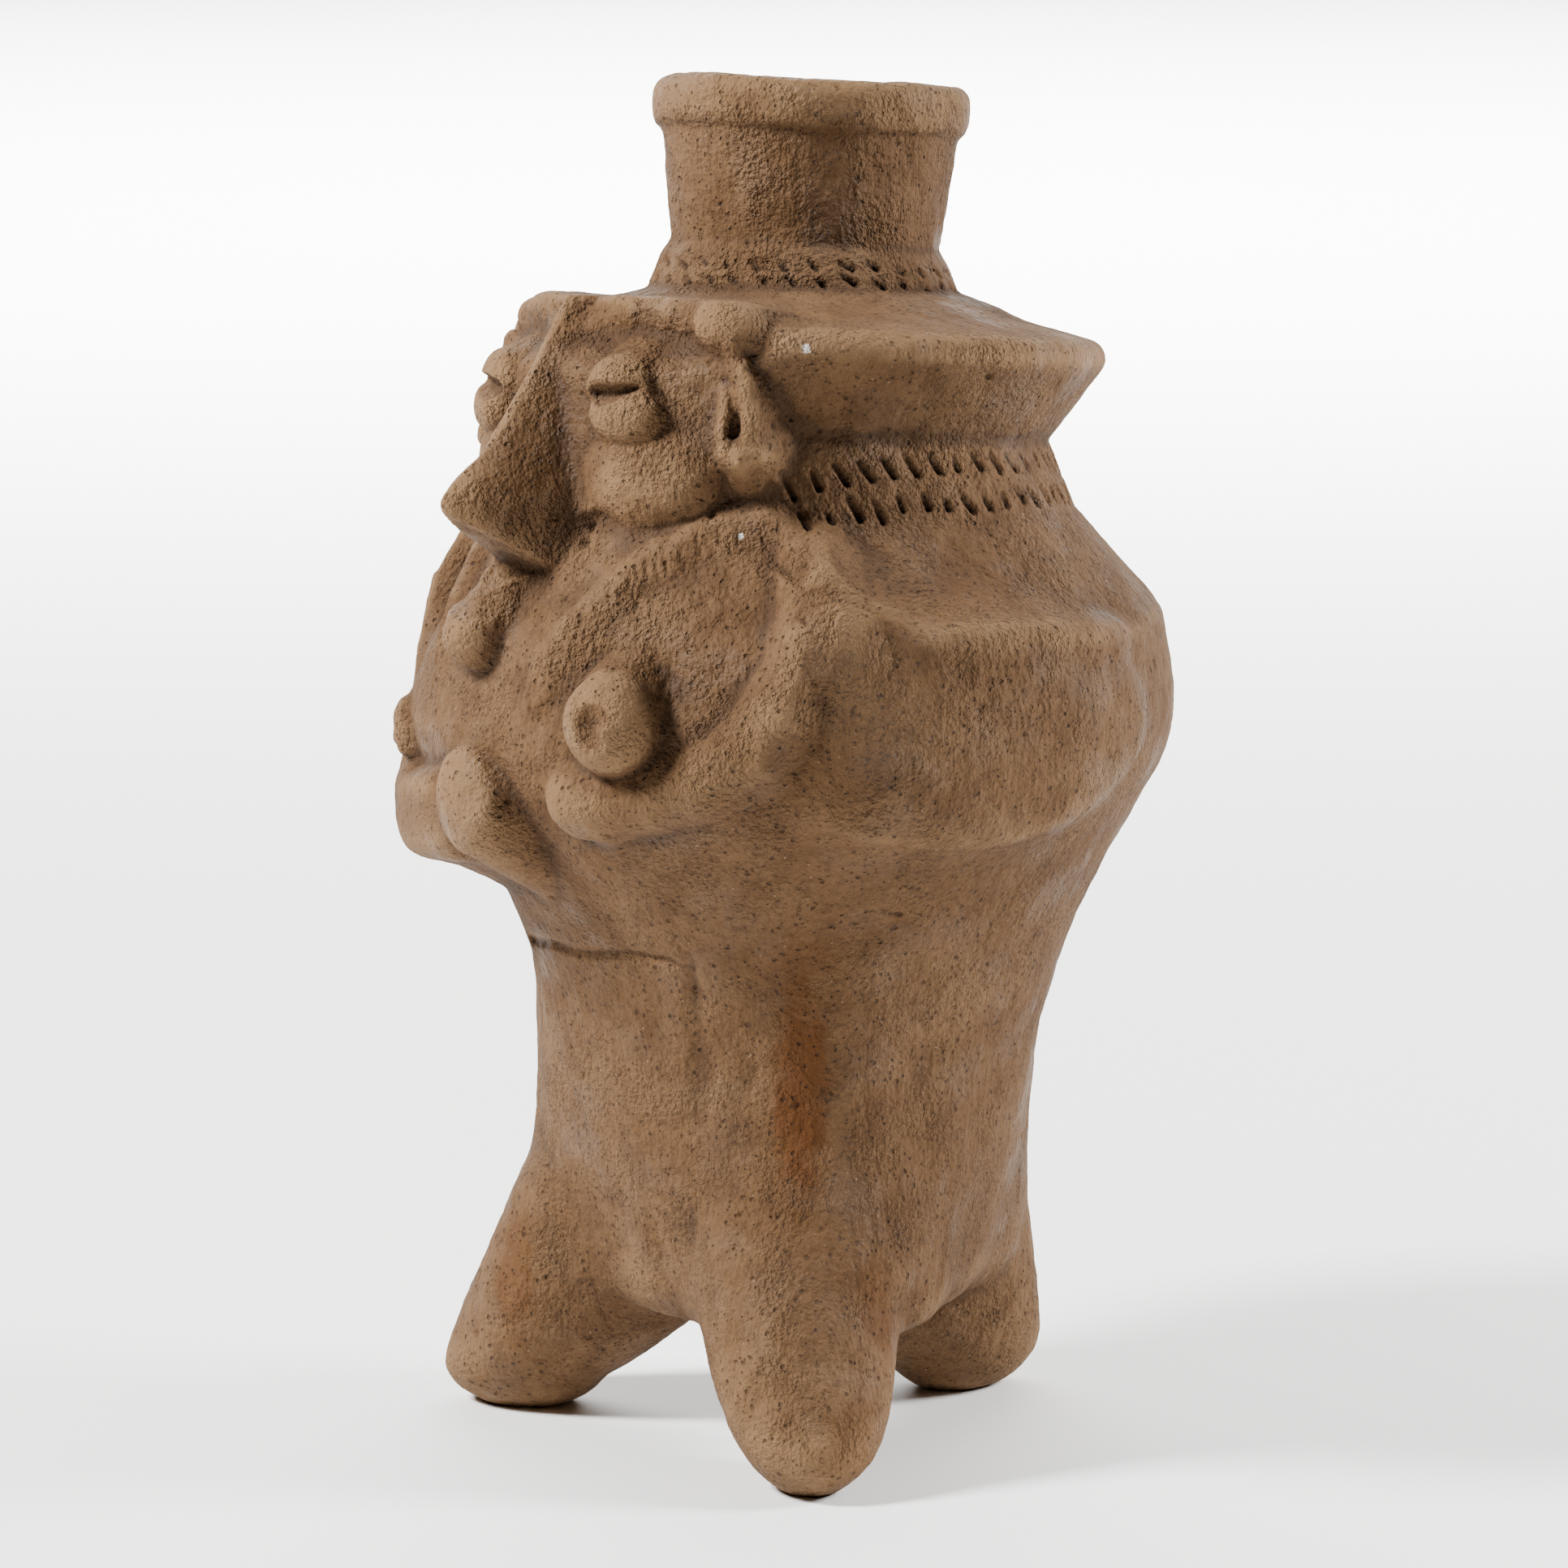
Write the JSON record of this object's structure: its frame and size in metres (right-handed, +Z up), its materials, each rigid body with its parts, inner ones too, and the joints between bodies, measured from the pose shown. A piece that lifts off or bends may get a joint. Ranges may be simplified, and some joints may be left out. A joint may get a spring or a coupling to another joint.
{
  "type": "effigy jar",
  "caption": "Hollow fired-clay jar shaped as a squat standing figure with a wedge nose and arms on its chest, raised on stubby legs, its flat hat carrying a short open spout.",
  "frame": {"origin": "middle of the bounding box, on the plane of the three soles", "axes": "+Z up out of the spout, -Y the way the figure faces, +X towards the figure's left hand"},
  "size_m": [0.1446, 0.1468, 0.2509],
  "materials": {
    "terracotta": "matte unglazed fired clay"
  },
  "bodies": {
    "root": {"vessel": "terracotta"}
  },
  "joints": []
}
